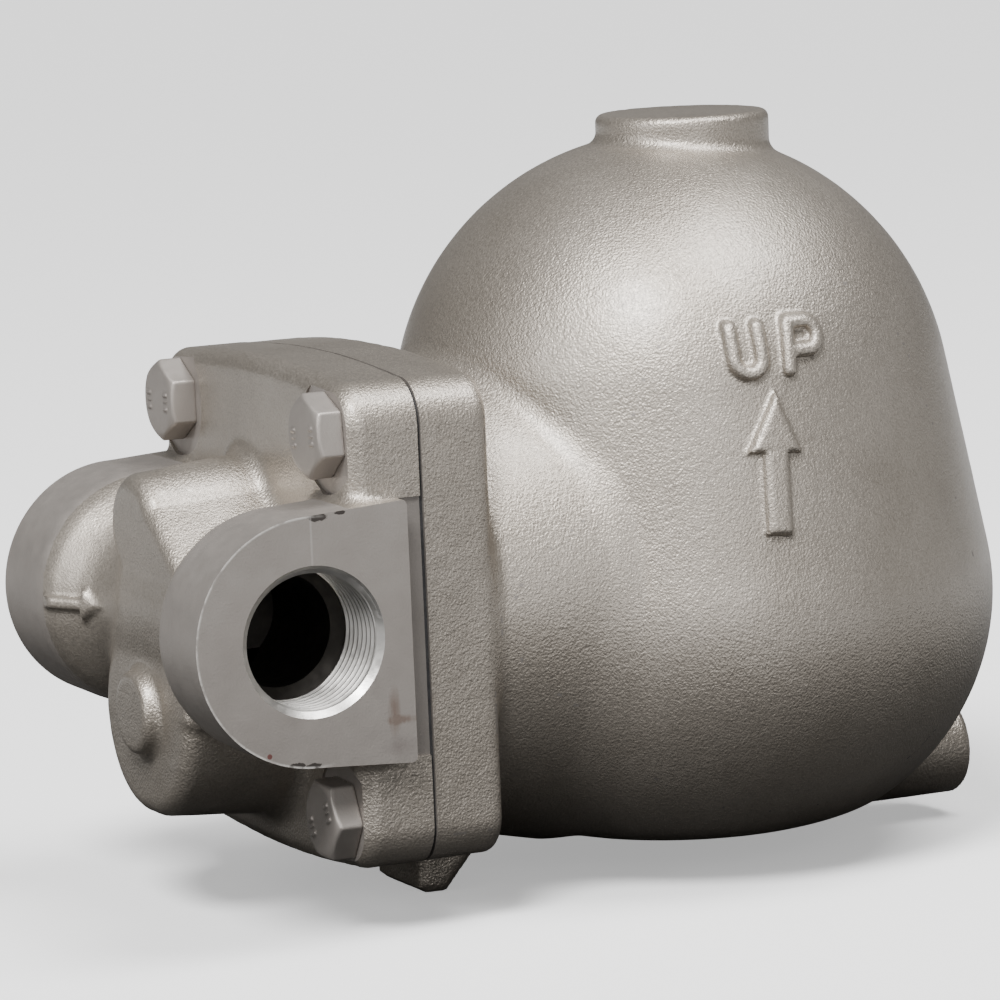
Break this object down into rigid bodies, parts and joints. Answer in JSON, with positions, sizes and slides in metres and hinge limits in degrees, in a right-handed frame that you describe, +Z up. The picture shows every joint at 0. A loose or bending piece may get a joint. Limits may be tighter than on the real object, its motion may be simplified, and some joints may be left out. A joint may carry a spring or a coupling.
{
  "type": "ball float steam trap",
  "caption": "Cast float steam trap with two in-line screwed ports, an egg-shaped float chamber bolted on behind, and a float valve and air vent inside.",
  "frame": {"origin": "centre of the inlet port's face, on the pipe axis", "axes": "+X along the pipe axis with the flow, from the inlet to the outlet; +Y from the connection body back to the float chamber; +Z up, towards the boss on top of the chamber"},
  "size_m": [0.15, 0.2237, 0.177],
  "materials": {
    "casting_paint": "as cast, one coat of warm grey metallic paint",
    "painted_bolt": "steel bolts under the same grey paint",
    "stainless": "pressed stainless steel",
    "hardened_stainless": "turned and hardened stainless steel",
    "float_steel": "drawn and polished stainless steel sheet",
    "graphite": "flat graphite sheet"
  },
  "bodies": {
    "trap": {"body_casting": "casting_paint", "float_chamber_cover": "casting_paint", "cover_gasket": "graphite", "cover_bolts": "painted_bolt", "main_seat_gasket": "stainless", "main_valve_seat": "hardened_stainless", "erosion_deflector": "hardened_stainless", "support_frame": "stainless", "pivot_frame": "stainless", "pivot_frame_screws": "stainless", "pivot_pin": "hardened_stainless", "pivot_pin_clips": "stainless", "air_vent_seat_gasket": "stainless", "air_vent_seat": "hardened_stainless", "air_vent_capsule": "float_steel", "air_vent_strap": "stainless", "air_vent_screws": "stainless"},
    "float_arm": {"float_lever": "stainless", "float_ball": "float_steel", "float_stud": "stainless", "lever_rivets": "stainless", "main_valve_head": "hardened_stainless", "valve_head_washer": "stainless"},
    "vent_valve": {"air_vent_valve": "hardened_stainless"}
  },
  "joints": [
    {"name": "float_lever_hinge", "type": "hinge", "parent": "trap", "child": "float_arm", "pos_m": [0.06, 0.044, -0.006], "axis": [1, 0, 0], "range_deg": [0, 24]},
    {"name": "air_vent_slide", "type": "slide", "parent": "trap", "child": "vent_valve", "axis": [0, -1, 0], "range_m": [0, 0.0015]}
  ]
}
